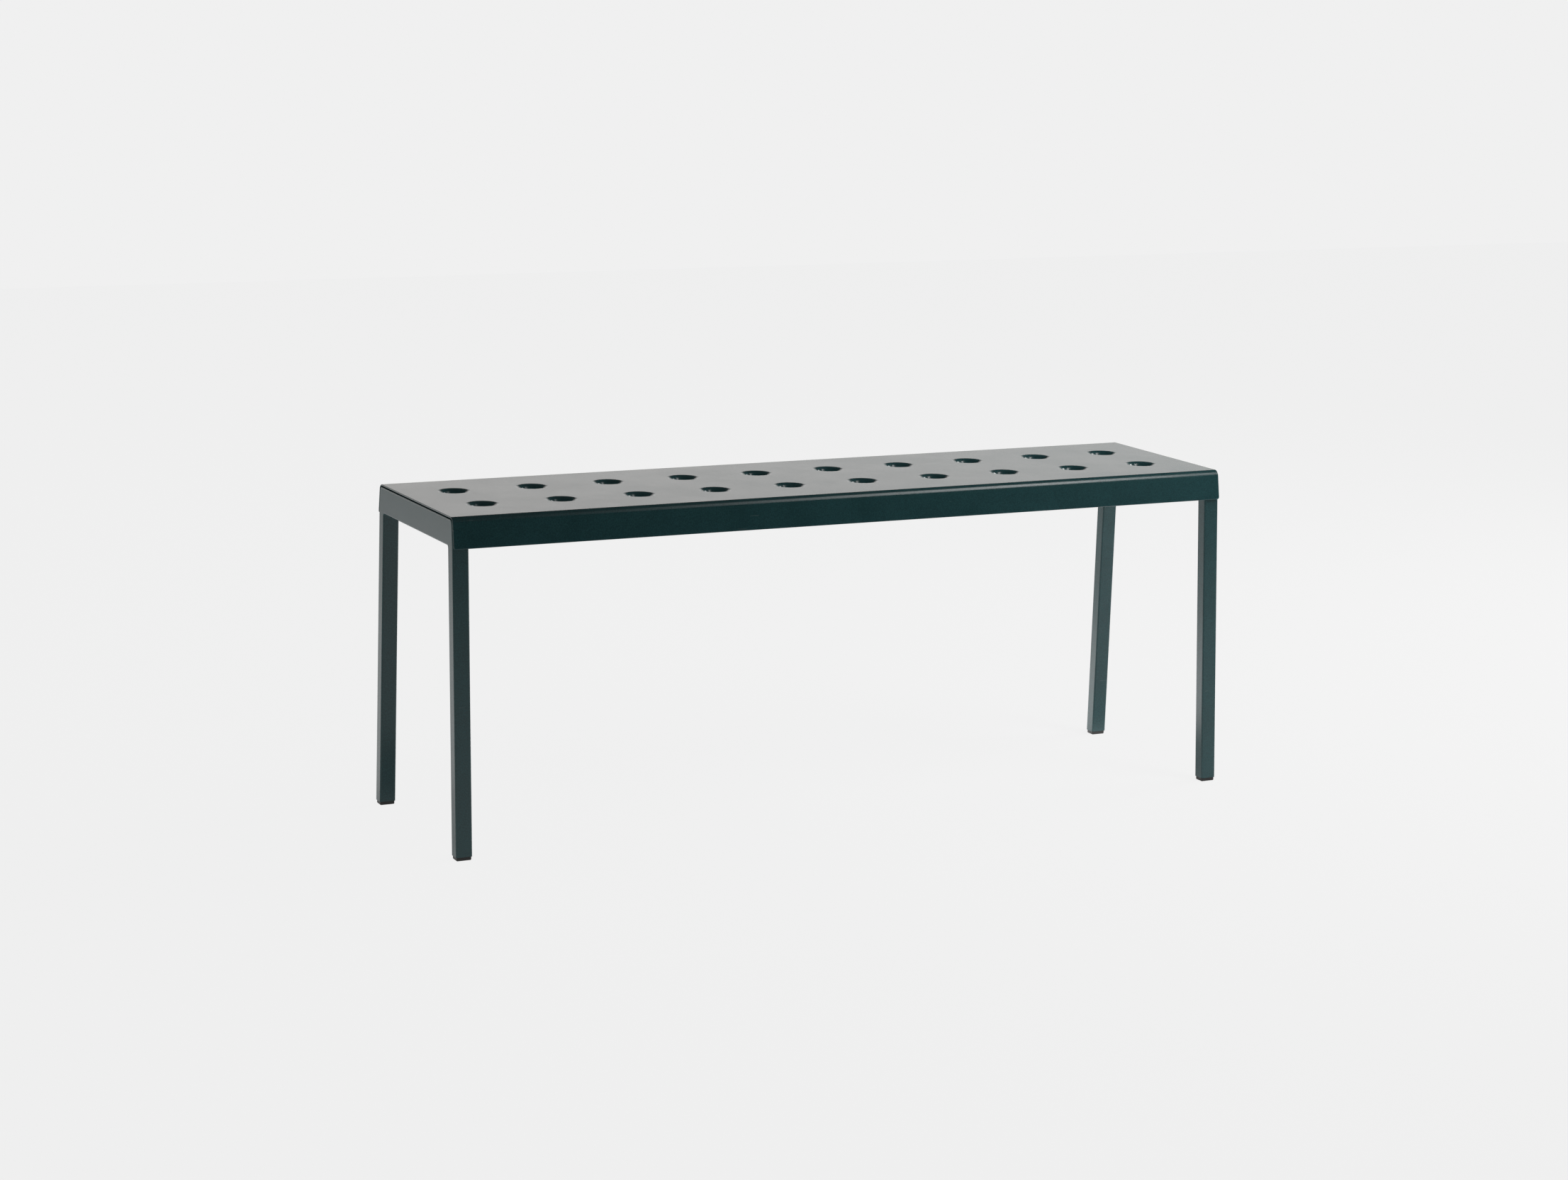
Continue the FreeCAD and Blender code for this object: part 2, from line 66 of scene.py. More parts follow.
# The photograph's camera, in metres and radians.
# Its sensor and lens are in millimetres, and its shift is a share of the frame's width.
SENSOR_WIDTH = 36.0
LENS = 77.72875
SHIFT_Y = -0.104882
CAMERA_PLACE = Vector((-2.0283, -4.1985, 1.1949))
HEADING = 0.4423
PITCH = 0.1434
ROLL = -0.0154

# The even grey behind the bench.
PALE = 0.871

# The seat sheet, in metres.
SEAT_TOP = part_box("seat_panel")[1][2]
SEAT_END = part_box("seat_panel")[1][0]
SKIRT_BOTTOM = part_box("seat_panel")[0][2]
SEAT_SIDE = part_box("seat_panel")[1][1]
GAUGE = 0.002
HOLE_COLUMNS = 10
HOLE_PITCH = 0.112
ROW_SPACING = 0.110
THROAT_RADIUS = 0.0145
LIP_RADIUS = 0.0085
LIP_DEPTH = 0.0085
THROAT_DROP = 0.0015
FOLD_RADIUS = 0.009
SKIRT_LEAN = math.radians(8)
SKIRT_CORNER = 0.003
CUT_ROUND = 0.0008

# How finely the seat sheet is meshed. The tuples are the places of rows, as shares of the way.
POINTS_PER_CELL = 16
LIP_STEPS = 14
FOLD_STEPS = 18
BORDER_STEPS = 4
AROUND_HOLE_ROWS = (0.08, 0.25, 0.55, 1.0)
END_ROWS = (0.35, 0.7)
SKIRT_ROWS = (0.1, 0.3, 0.5, 0.7, 0.85, 0.94, 1.0)

# The fixings and welds under the seat, in metres.
FIXING_Y = 0.100
TURNED_SIDES = 72
THREAD_RADIUS = 0.003
THREAD_PITCH = 0.001
THREAD_DEPTH = 0.00055
THREAD_LENGTH = 0.0065
THREAD_RUN_OUT = 0.0003
STUD_TIP = 0.0019
STUD_ROOT = dict(radius=0.00375, gauge=0.001)
NUT_CORNER = 0.00575
NUT_HEXAGON = 0.0041
NUT_CHAMFER = 0.0006
NUT_CONE_SHARE = 0.96
EASED = 0.0002
COLLAR_RADIUS = 0.0046
COLLAR_MOUTH = 0.0037
INSERT_DEPTH = 0.0009
BEAD = dict(radius=0.0020, ripple=0.09, ripples_apart=0.0014, from_top=0.0055, length=0.0165,
            rows=56, sides=20, end_area=0.04, sag=0.3)
# A spot weld's profile is its height and radius from the rim inward, as shares.
SPOT = dict(radius=0.0026, height=0.00022, apart=0.056, inset=0.0058,
            profile=((-0.5, 1.0), (0.4, 0.97), (0.85, 0.86), (1.0, 0.72), (0.55, 0.55), (0.35, 0.3)))
STIFFENER_GAUGE = 0.0015
SHARP_EDGE = math.radians(35)

# The studio's light. The camera never sees it: it sees only the even pale grey.
WORLD = dict(lean=-0.45, back_from=-0.35, back_to=0.15, sweep_full=0.24, sweep_end=0.40, sweep=1.03,
             front_dim=0.03, dome_from=0.3, zenith=0.08, tint=(1.02, 1.0, 0.985, 1.0))
# The floor glows for the bench, unevenly: painted light in patches, and a painted shade under the bench. Each
# pair of numbers is where a change in the floor's light begins and ends, in metres.
FLOOR = dict(size=14.0, albedo=0.70, roughness=0.22, glow=0.856, catch=0.04,
             left=0.47, right=0.40, turn=(-0.3, 0.6),
             front=(-3.9, -2.7), front_rest=0.05, back=(0.7, 2.8), back_rest=0.18,
             behind=1.25, behind_y=(0.1, 0.35),
             near_left=0.06, near_left_x=(-0.6, 0.6), near_left_y=(-0.4, 0.3),
             shade=0.35, shade_x=(0.50, 0.72), shade_y=(0.04, 0.20),
             front_left=0.15, front_left_lean=0.8, front_left_edge=(-1.8, -0.4), front_left_y=(-0.1, 0.3),
             bright=1.15, bright_place=(0.35, 0.35, 0.0), bright_reach=(0.1, 0.9), bright_y=(0.04, 0.20),
             far_right=1.3, far_right_x=(0.3, 1.8), far_right_y=(2.8, 4.5))
SIDE_LIGHT = dict(place=(3.3, 0.15, 1.45), away=(3.3, 0.15, 0.3), size=(1.4, 1.7), radiance=9.0)
SOFTBOX = dict(y=-1.68, z=2.38, aim_y=-0.15, aim_z=0.45, depth=2.2, spread=math.radians(88), share=0.396)
SOFTBOXES = [
    # x from, x to, radiance
    (0.6, 0.9, 0.2),
    (0.9, 1.15, 1.2),
    (1.15, 1.4, 4.0),
    (1.4, 1.65, 8.0),
    (1.65, 1.94, 13.0),
]
FRONT_PANEL = dict(y=-2.5, z=0.75, height=0.8)
FRONT_PANELS = [
    # x from, x to, radiance
    (1.5, 1.75, 0.04),
    (1.75, 2.1, 0.16),
]

COAT = dict(color=(0.0135, 0.0550, 0.0600), mottle=0.15, cloud_share=0.35,
            roughness=0.22, smoother=0.008, rougher=0.012)
WORN = dict(color=(0.20, 0.24, 0.24, 1.0), rougher=0.30)
# Each pair of numbers is a distance from the seat's end, top or side: where rubs begin and are full.
RUB = dict(from_end=(0.0022, 0.0008), from_top=(0.024, 0.010), from_side=(0.0085, 0.0070),
           stretch=(1.0, 0.45, 0.45), scale=210.0, strength=0.75)
HAIRLINES = dict(turn=0.35, stretch=(1.0, 22.0, 8.0), scale=26.0, strength=0.10)


# ---------------------------------------------------------------- camera and studio

def make_camera():
    """The camera, turned by its heading, its pitch and its small roll."""
    data = bpy.data.cameras.new("camera")
    data.sensor_width = SENSOR_WIDTH
    data.lens = LENS
    data.shift_y = SHIFT_Y
    data.clip_end = 100.0
    level = Vector((math.sin(HEADING), math.cos(HEADING), 0.0))
    forward = level * math.cos(PITCH) - Vector((0.0, 0.0, math.sin(PITCH)))
    right = Vector((math.cos(HEADING), -math.sin(HEADING), 0.0))
    down = forward.cross(right)
    across = right * math.cos(ROLL) + down * math.sin(ROLL)
    below = down * math.cos(ROLL) - right * math.sin(ROLL)
    turn = Matrix((across, -below, -forward)).transposed()
    camera = bpy.data.objects.new("camera", data)
    camera.matrix_world = Matrix.Translation(CAMERA_PLACE) @ turn.to_4x4()
    scene.collection.objects.link(camera)
    scene.camera = camera


class Nodes:
    """Short ways to add and join shader nodes in one tree."""

    def __init__(self, tree):
        self.tree = tree
        tree.nodes.clear()

    def add(self, kind, inputs=None, **settings):
        node = self.tree.nodes.new(kind)
        for name, value in settings.items():
            setattr(node, name, value)
        for key, value in (inputs or {}).items():
            self.feed(node.inputs[key], value)
        return node

    def feed(self, socket, value):
        if isinstance(value, bpy.types.NodeSocket):
            self.tree.links.new(value, socket)
        elif isinstance(value, bpy.types.Node):
            self.tree.links.new(value.outputs[0], socket)
        else:
            socket.default_value = value

    def math(self, operation, *values, clamp=False):
        node = self.add("ShaderNodeMath", operation=operation, use_clamp=clamp)
        for socket, value in zip(node.inputs, values):
            self.feed(socket, value)
        return node

    def ramp(self, value, low, high, start=0.0, end=1.0):
        """Goes smoothly from start to end as value goes from low to high."""
        node = self.add("ShaderNodeMapRange", interpolation_type="SMOOTHSTEP")
        for socket, number in zip(node.inputs, (value, low, high, start, end)):
            self.feed(socket, number)
        return node


def make_world():
    """The studio around the bench: a white sweep behind it under a dim dome."""
    world = bpy.data.worlds.new("studio")
    scene.world = world
    world.use_nodes = True
    n = Nodes(world.node_tree)
    direction = n.add("ShaderNodeTexCoord").outputs["Generated"]
    split = n.add("ShaderNodeSeparateXYZ", {0: direction})
    x, y, z = split.outputs
    # a white sweep behind and to the left, up to a soft upper edge
    behind = n.ramp(n.math("ADD", y, n.math("MULTIPLY", x, WORLD["lean"])),
                    WORLD["back_from"], WORLD["back_to"])
    low = n.ramp(z, WORLD["sweep_full"], WORLD["sweep_end"], 1.0, 0.0)
    sweep = n.math("MULTIPLY", n.math("MULTIPLY", behind, low), WORLD["sweep"])
    dome = n.ramp(z, WORLD["dome_from"], 1.0, WORLD["front_dim"], WORLD["zenith"])
    light = n.math("ADD", sweep, dome)
    seen = n.add("ShaderNodeLightPath").outputs["Is Camera Ray"]
    studio = n.add("ShaderNodeBackground", {"Color": WORLD["tint"], "Strength": light})
    plain = n.add("ShaderNodeBackground", {"Color": (PALE, PALE, PALE, 1.0)})
    both = n.add("ShaderNodeMixShader", {0: seen, 1: studio, 2: plain})
    n.add("ShaderNodeOutputWorld", {"Surface": both})


def make_floor():
    """A plain pale floor. The camera sees it flat and even; the bench sees it lit and glowing, with painted
    light in patches and a painted shade under the bench.
    """
    mesh = bpy.data.meshes.new("floor")
    half = FLOOR["size"] / 2
    mesh.from_pydata([(-half, -half, 0), (half, -half, 0), (half, half, 0), (-half, half, 0)], [],
                     [(0, 1, 2, 3)])
    floor = bpy.data.objects.new("floor", mesh)
    scene.collection.objects.link(floor)
    material = bpy.data.materials.new("floor")
    material.use_nodes = True
    n = Nodes(material.node_tree)
    place = n.add("ShaderNodeNewGeometry").outputs["Position"]
    x, y, _ = n.add("ShaderNodeSeparateXYZ", {0: place}).outputs
    # the floor's glow for the bench: painted light that changes from place to place
    along = n.ramp(x, *FLOOR["turn"], FLOOR["left"], FLOOR["right"])
    front = n.ramp(y, *FLOOR["front"], FLOOR["front_rest"], 1.0)
    back = n.ramp(y, *FLOOR["back"], 1.0, FLOOR["back_rest"])
    near_left = n.math("MULTIPLY", n.ramp(y, *FLOOR["near_left_y"]),
                       n.ramp(x, *FLOOR["near_left_x"], FLOOR["near_left"], 0.0))
    glow = n.math("ADD", n.math("MULTIPLY", along, n.math("MULTIPLY", front, back)), near_left)
    glow = n.math("MULTIPLY", glow, n.ramp(y, *FLOOR["behind_y"], 1.0, FLOOR["behind"]))
    # painted shade: the floor glows less right under the bench, as a painted shadow
    shade = n.math("MULTIPLY", n.ramp(n.math("ABSOLUTE", x), *FLOOR["shade_x"], 1.0, 0.0),
                   n.ramp(n.math("ABSOLUTE", y), *FLOOR["shade_y"], 1.0, 0.0))
    shade = n.math("MULTIPLY", shade, 1.0 - FLOOR["shade"])
    glow = n.math("MULTIPLY", glow, n.math("SUBTRACT", 1.0, shade))
    leaning = n.math("SUBTRACT", x, n.math("MULTIPLY", y, FLOOR["front_left_lean"]))
    front_left = n.math("MAXIMUM", n.ramp(leaning, *FLOOR["front_left_edge"], FLOOR["front_left"], 1.0),
                        n.ramp(y, *FLOOR["front_left_y"]))
    glow = n.math("MULTIPLY", glow, front_left)
    # painted light: a brighter glowing pool on the floor, right of centre and behind the front
    away = n.add("ShaderNodeVectorMath", {0: place, 1: FLOOR["bright_place"]}, operation="DISTANCE")
    bright = n.ramp(away.outputs["Value"], *FLOOR["bright_reach"], FLOOR["bright"], 0.0)
    glow = n.math("ADD", glow, n.math("MULTIPLY", bright, n.ramp(y, *FLOOR["bright_y"])))
    far_right = n.math("MULTIPLY", n.ramp(y, *FLOOR["far_right_y"], 0.0, FLOOR["far_right"]),
                       n.ramp(x, *FLOOR["far_right_x"]))
    glow = n.math("ADD", glow, far_right)
    lit_and_glowing = n.add("ShaderNodeBsdfPrincipled", {"Base Color": (FLOOR["albedo"],) * 3 + (1.0,),
                                             "Roughness": FLOOR["roughness"],
                                             "Emission Color": (1.0, 1.0, 1.0, 1.0),
                                             "Emission Strength": glow})
    plain = n.add("ShaderNodeEmission", {"Color": (FLOOR["glow"],) * 3 + (1.0,)})
    catch = n.add("ShaderNodeBsdfDiffuse", {"Color": (FLOOR["catch"],) * 3 + (1.0,)})
    both = n.add("ShaderNodeAddShader", {0: plain, 1: catch})
    seen = n.add("ShaderNodeLightPath").outputs["Is Camera Ray"]
    shown = n.add("ShaderNodeMixShader", {0: seen, 1: lit_and_glowing, 2: both})
    n.add("ShaderNodeOutputMaterial", {"Surface": shown})
    mesh.materials.append(material)


def make_panel(name, place, away, size, radiance, spread=math.pi, share=1.0):
    """A rectangular soft light that the camera doesn't see. Its back points along away."""
    data = bpy.data.lights.new(name, "AREA")
    data.shape = "RECTANGLE"
    data.size, data.size_y = size
    data.spread = spread
    data.energy = radiance * data.size * data.size_y * math.pi * share
    light = bpy.data.objects.new(name, data)
    light.matrix_world = Matrix.Translation(place) @ away.to_track_quat("Z", "Y").to_matrix().to_4x4()
    light.visible_camera = False
    scene.collection.objects.link(light)


def make_side_light():
    """A tall soft light at the right, out of sight of every face that the photograph shows."""
    make_panel("side_light", Vector(SIDE_LIGHT["place"]), Vector(SIDE_LIGHT["away"]), SIDE_LIGHT["size"],
               SIDE_LIGHT["radiance"])


def make_softboxes():
    """A long soft panel above the right front, and a dim one low in front, both brighter to the right."""
    away = Vector((0.0, SOFTBOX["y"] - SOFTBOX["aim_y"], SOFTBOX["z"] - SOFTBOX["aim_z"]))
    for number, (x_from, x_to, radiance) in enumerate(SOFTBOXES):
        place = Vector(((x_from + x_to) / 2, SOFTBOX["y"], SOFTBOX["z"]))
        make_panel(f"softbox_{number}", place, away, (x_to - x_from, SOFTBOX["depth"]), radiance,
                   SOFTBOX["spread"], SOFTBOX["share"])
    away = Vector((0.0, -1.0, 0.0))
    for number, (x_from, x_to, radiance) in enumerate(FRONT_PANELS):
        place = Vector(((x_from + x_to) / 2, FRONT_PANEL["y"], FRONT_PANEL["z"]))
        make_panel(f"front_panel_{number}", place, away, (x_to - x_from, FRONT_PANEL["height"]), radiance)


# ---------------------------------------------------------------- materials

def grey(value):
    return (value, value, value, 1.0)


def mix_color(n, factor, first, second):
    mix = n.add("ShaderNodeMix", data_type="RGBA")
    n.feed(mix.inputs[0], factor)
    n.feed(mix.inputs[6], first)
    n.feed(mix.inputs[7], second)
    return mix.outputs[2]


def new_material(name):
    material = bpy.data.materials.new(name)
    material.use_nodes = True
    return material, Nodes(material.node_tree)


def noise(n, place, scale, detail=2.0, roughness=0.5):
    return n.add("ShaderNodeTexNoise", {"Vector": place, "Scale": scale, "Detail": detail,
                                        "Roughness": roughness}).outputs[0]


def make_powder_coat(name):
    """Satin powder coat: fine orange peel, faint mottling, hairlines, and pale rubs at the seat's corners."""
    material, n = new_material(name)
    place = n.add("ShaderNodeTexCoord").outputs["Object"]
    x, y, z = n.add("ShaderNodeSeparateXYZ", {0: place}).outputs
    peel = noise(n, place, 650.0)
    grain = noise(n, place, 2600.0, detail=1.0)
    cloud = noise(n, place, 14.0, detail=4.0, roughness=0.6)
    height = n.math("ADD", n.math("MULTIPLY", peel, 0.7), n.math("MULTIPLY", grain, 0.3))
    dark, light = (tuple(channel * (1.0 + change) for channel in COAT["color"]) + (1.0,)
                   for change in (-COAT["mottle"], COAT["mottle"]))
    mottle = n.math("ADD", n.math("MULTIPLY", cloud, COAT["cloud_share"]),
                    n.math("MULTIPLY", peel, 1.0 - COAT["cloud_share"]))
    tone = mix_color(n, n.ramp(mottle, 0.38, 0.62), dark, light)
    # short pale rubs, only at the seat's four corners and near its top
    at_corner = n.math("MULTIPLY",
                       n.ramp(n.math("ABSOLUTE", x), *(SEAT_END - inset for inset in RUB["from_end"])),
                       n.ramp(z, *(SEAT_TOP - drop for drop in RUB["from_top"])))
    at_corner = n.math("MULTIPLY", at_corner,
                       n.ramp(n.math("ABSOLUTE", y), *(SEAT_SIDE - inset for inset in RUB["from_side"])))
    stretched = n.add("ShaderNodeMapping", {"Vector": place, "Scale": RUB["stretch"]})
    patches = n.ramp(noise(n, stretched, RUB["scale"], detail=3.0, roughness=0.7), 0.60, 0.68)
    rub = n.math("MULTIPLY", n.math("MULTIPLY", at_corner, patches), RUB["strength"])
    # hairline marks, sparse, where things have slid over the coat
    hairs = n.add("ShaderNodeMapping", {"Vector": place, "Rotation": (0.0, 0.0, HAIRLINES["turn"]),
                                        "Scale": HAIRLINES["stretch"]})
    marks = n.math("MULTIPLY", n.ramp(noise(n, hairs, HAIRLINES["scale"]), 0.735, 0.76),
                   HAIRLINES["strength"])
    worn = n.math("MAXIMUM", rub, marks)
    color = mix_color(n, worn, tone, WORN["color"])
    rough = n.ramp(cloud, 0.3, 0.7, COAT["roughness"] - COAT["smoother"], COAT["roughness"] + COAT["rougher"])
    rough = n.math("ADD", rough, n.math("MULTIPLY", worn, WORN["rougher"]))
    bump = n.add("ShaderNodeBump", {"Height": height, "Strength": 0.45, "Distance": 0.0001})
    shader = n.add("ShaderNodeBsdfPrincipled", {"Base Color": color, "Roughness": rough, "IOR": 1.5,
                                                "Normal": bump})
    n.add("ShaderNodeOutputMaterial", {"Surface": shader})
    return material


def make_moulded_plastic(name):
    """Black polyamide with a spark-eroded grain, scuffed grey towards the sole."""
    material, n = new_material(name)
    place = n.add("ShaderNodeTexCoord").outputs["Object"]
    z = n.add("ShaderNodeSeparateXYZ", {0: place}).outputs[2]
    grain = noise(n, place, 1500.0, detail=3.0)
    smudge = noise(n, place, 120.0, detail=4.0, roughness=0.65)
    scuff = n.math("MULTIPLY", n.ramp(smudge, 0.48, 0.66), n.ramp(z, 0.0, 0.0028, 1.0, 0.0))
    moulded = mix_color(n, smudge, grey(0.009), grey(0.017))
    color = mix_color(n, scuff, moulded, grey(0.075))
    rough = n.math("ADD", n.ramp(smudge, 0.3, 0.7, 0.40, 0.52), n.math("MULTIPLY", scuff, 0.25))
    bump = n.add("ShaderNodeBump", {"Height": grain, "Strength": 0.35, "Distance": 0.00006})
    shader = n.add("ShaderNodeBsdfPrincipled", {"Base Color": color, "Roughness": rough, "IOR": 1.52,
                                                "Normal": bump})
    n.add("ShaderNodeOutputMaterial", {"Surface": shader})
    return material


def make_rubber(name):
    """Black cellular rubber sheet: matt, faintly speckled, with fine closed pores."""
    material, n = new_material(name)
    place = n.add("ShaderNodeTexCoord").outputs["Object"]
    pores = n.add("ShaderNodeTexVoronoi", {"Vector": place, "Scale": 1400.0}).outputs[0]
    dust = noise(n, place, 300.0, detail=4.0, roughness=0.7)
    color = mix_color(n, n.ramp(dust, 0.55, 0.75), grey(0.010), grey(0.028))
    bump = n.add("ShaderNodeBump", {"Height": pores, "Strength": 0.5, "Distance": 0.00008})
    rough = n.ramp(dust, 0.3, 0.7, 0.72, 0.86)
    shader = n.add("ShaderNodeBsdfPrincipled", {"Base Color": color, "Roughness": rough, "Normal": bump})
    n.add("ShaderNodeOutputMaterial", {"Surface": shader})
    return material


def make_zinc(name):
    """Bright zinc plate: small grain, a blue to straw tint, and dull spots where it has passivated."""
    material, n = new_material(name)
    place = n.add("ShaderNodeTexCoord").outputs["Object"]
    tint = noise(n, place, 220.0, detail=3.0, roughness=0.6)
    spots = n.ramp(noise(n, place, 900.0, detail=4.0, roughness=0.7), 0.58, 0.72)
    blue = (0.60, 0.63, 0.67, 1.0)
    straw = (0.70, 0.68, 0.60, 1.0)
    dull = (0.40, 0.40, 0.39, 1.0)
    color = mix_color(n, spots, mix_color(n, tint, blue, straw), dull)
    rough = n.math("ADD", n.ramp(tint, 0.3, 0.7, 0.24, 0.36), n.math("MULTIPLY", spots, 0.22))
    scored = n.add("ShaderNodeMapping", {"Vector": place, "Scale": (1.0, 1.0, 9.0)})
    bump = n.add("ShaderNodeBump", {"Height": noise(n, scored, 1800.0), "Strength": 0.3,
                                    "Distance": 0.00005})
    shader = n.add("ShaderNodeBsdfPrincipled", {"Base Color": color, "Metallic": 1.0, "Roughness": rough,
                                                "Normal": bump})
    n.add("ShaderNodeOutputMaterial", {"Surface": shader})
    return material


def dress(node, material):
    """Puts the finish in every material slot of a carried-over node."""
    slots = frame["nodes"][node].data.materials
    for index in range(len(slots)):
        slots[index] = material


# ---------------------------------------------------------------- the seat sheet

class Sheet:
    """A thin sheet's mesh. Each point of its upper side is paired with one below it."""

    def __init__(self):
        self.mesh = bmesh.new()
        self.pairs = {}

    def pair(self, above, below):
        key = tuple(round(number, 6) for number in above)
        if key not in self.pairs:
            self.pairs[key] = (self.mesh.verts.new(above), self.mesh.verts.new(below))
        return self.pairs[key]

    def add_rows(self, rows, closed=False):
        """Fills the quads between rows of (above, below) points."""
        rows = [[self.pair(*point) for point in row] for row in rows]
        for row, following in zip(rows, rows[1:]):
            count = len(row)
            for index in range(count if closed else count - 1):
                after = (index + 1) % count
                corners = (row[index], row[after], following[after], following[index])
                self.mesh.faces.new([corner[0] for corner in corners])
                self.mesh.faces.new([corner[1] for corner in reversed(corners)])

    def close_rims(self):
        """Joins the two sides along every open edge with a half round, as a coated cut edge has."""
        below = {above: under for above, under in self.pairs.values()}
        open_edges = [edge for edge in self.mesh.edges if edge.is_boundary and edge.verts[0] in below]
        beside = {}
        for edge in open_edges:
            start, end = edge.verts
            beside.setdefault(start, []).append(end)
            beside.setdefault(end, []).append(start)
        rounds = {}
        for vertex, (before, after) in beside.items():
            under = below[vertex]
            middle = (vertex.co + under.co) / 2
            half = (vertex.co - under.co) / 2
            inside = sum((face.calc_center_median() for face in vertex.link_faces), Vector())
            outward = (after.co - before.co).cross(half).normalized()
            if outward.dot(vertex.co - inside / len(vertex.link_faces)) < 0.0:
                outward.negate()
            turns = steps(0.0, math.pi, 8)[1:-1]
            rounds[vertex] = [vertex] + [
                self.mesh.verts.new(middle + half * math.cos(turn) + outward * CUT_ROUND * math.sin(turn))
                for turn in turns] + [under]
        for edge in open_edges:
            start, end = (rounds[vertex] for vertex in edge.verts)
            for index in range(len(start) - 1):
                self.mesh.faces.new((start[index], end[index], end[index + 1], start[index + 1]))
        bmesh.ops.recalc_face_normals(self.mesh, faces=self.mesh.faces)


def steps(start, end, count):
    return [start + (end - start) * index / count for index in range(count + 1)]


def flat(x, y):
    return (x, y, SEAT_TOP), (x, y, SEAT_TOP - GAUGE)


def lip_profile():
    """Radius and height above and below the sheet, from the throat's end out to the flat."""
    rim = THROAT_RADIUS + LIP_RADIUS
    end = SEAT_TOP - LIP_DEPTH - THROAT_DROP + CUT_ROUND
    profile = [((THROAT_RADIUS, end), (THROAT_RADIUS + GAUGE, end))]
    for turn in steps(math.pi / 2, 0.0, LIP_STEPS):
        radius = rim - LIP_RADIUS * math.sin(turn)
        height = SEAT_TOP - LIP_DEPTH * (1.0 - math.cos(turn))
        normal = Vector((-LIP_DEPTH * math.sin(turn), LIP_RADIUS * math.cos(turn))).normalized()
        profile.append(((radius, height), (radius - GAUGE * normal.x, height - GAUGE * normal.y)))
    return profile


def add_hole_cell(sheet, centre_x, centre_y):
    """One cell of the grid: a hole with its drawn lip, and the flat around it out to a rectangle."""
    half_x = HOLE_PITCH / 2
    half_y = ROW_SPACING / 2
    corners = [(half_x, -half_y), (half_x, half_y), (-half_x, half_y), (-half_x, -half_y)]
    edge = []
    for side in range(4):
        ax, ay = corners[side]
        bx, by = corners[(side + 1) % 4]
        edge += [(ax + (bx - ax) * index / POINTS_PER_CELL, ay + (by - ay) * index / POINTS_PER_CELL)
                 for index in range(POINTS_PER_CELL)]
    angles = [2 * math.pi * index / len(edge) - math.pi / 4 for index in range(len(edge))]
    rows = []
    for (radius, height), (radius_below, height_below) in lip_profile():
        rows.append([((centre_x + radius * math.cos(a), centre_y + radius * math.sin(a), height),
                      (centre_x + radius_below * math.cos(a), centre_y + radius_below * math.sin(a),
                       height_below)) for a in angles])
    rim = THROAT_RADIUS + LIP_RADIUS
    for share in AROUND_HOLE_ROWS:
        rows.append([flat(centre_x + (1 - share) * rim * math.cos(a) + share * across,
                          centre_y + (1 - share) * rim * math.sin(a) + share * along)
                     for a, (across, along) in zip(angles, edge)])
    sheet.add_rows(rows, closed=True)


def skirt_columns():
    """The places along the bench where the sheet has a row of points."""
    cells_end = HOLE_PITCH * HOLE_COLUMNS / 2
    inner = steps(-cells_end, cells_end, HOLE_COLUMNS * POINTS_PER_CELL)
    straight = SEAT_END - SKIRT_CORNER
    radius = SKIRT_CORNER - CUT_ROUND
    outer = [cells_end + (straight - cells_end) * share for share in END_ROWS]
    outer += [straight + radius * math.sin(turn) for turn in steps(0.0, math.pi / 2, 6)]
    return [-x for x in reversed(outer)] + inner + outer


def fold_and_skirt(x, side):
    """The points down one column, round the fold and down the skirt."""
    corner = SEAT_SIDE - (SEAT_TOP - SKIRT_BOTTOM) * math.tan(SKIRT_LEAN)
    turn = math.pi / 2 - SKIRT_LEAN
    fold_y = corner - FOLD_RADIUS * math.tan(turn / 2)
    fold_z = SEAT_TOP - FOLD_RADIUS
    inner = FOLD_RADIUS - GAUGE
    column = []
    for angle in steps(math.pi / 2, SKIRT_LEAN, FOLD_STEPS):
        column.append(((x, side * (fold_y + FOLD_RADIUS * math.cos(angle)),
                        fold_z + FOLD_RADIUS * math.sin(angle)),
                       (x, side * (fold_y + inner * math.cos(angle)),
                        fold_z + inner * math.sin(angle))))
    beyond = max(0.0, abs(x) - (SEAT_END - SKIRT_CORNER))
    radius = SKIRT_CORNER - CUT_ROUND
    rise = SKIRT_CORNER - math.sqrt(max(0.0, radius ** 2 - beyond ** 2))
    bottom = SKIRT_BOTTOM + rise * math.cos(SKIRT_LEAN) + GAUGE / 2 * math.sin(SKIRT_LEAN)
    top = column[-1][0][2]
    for share in SKIRT_ROWS:
        height = top + (bottom - top) * share
        across = SEAT_SIDE - (height - SKIRT_BOTTOM) * math.tan(SKIRT_LEAN)
        column.append(((x, side * across, height),
                       (x, side * (across - GAUGE * math.cos(SKIRT_LEAN)),
                        height - GAUGE * math.sin(SKIRT_LEAN))))
    return column


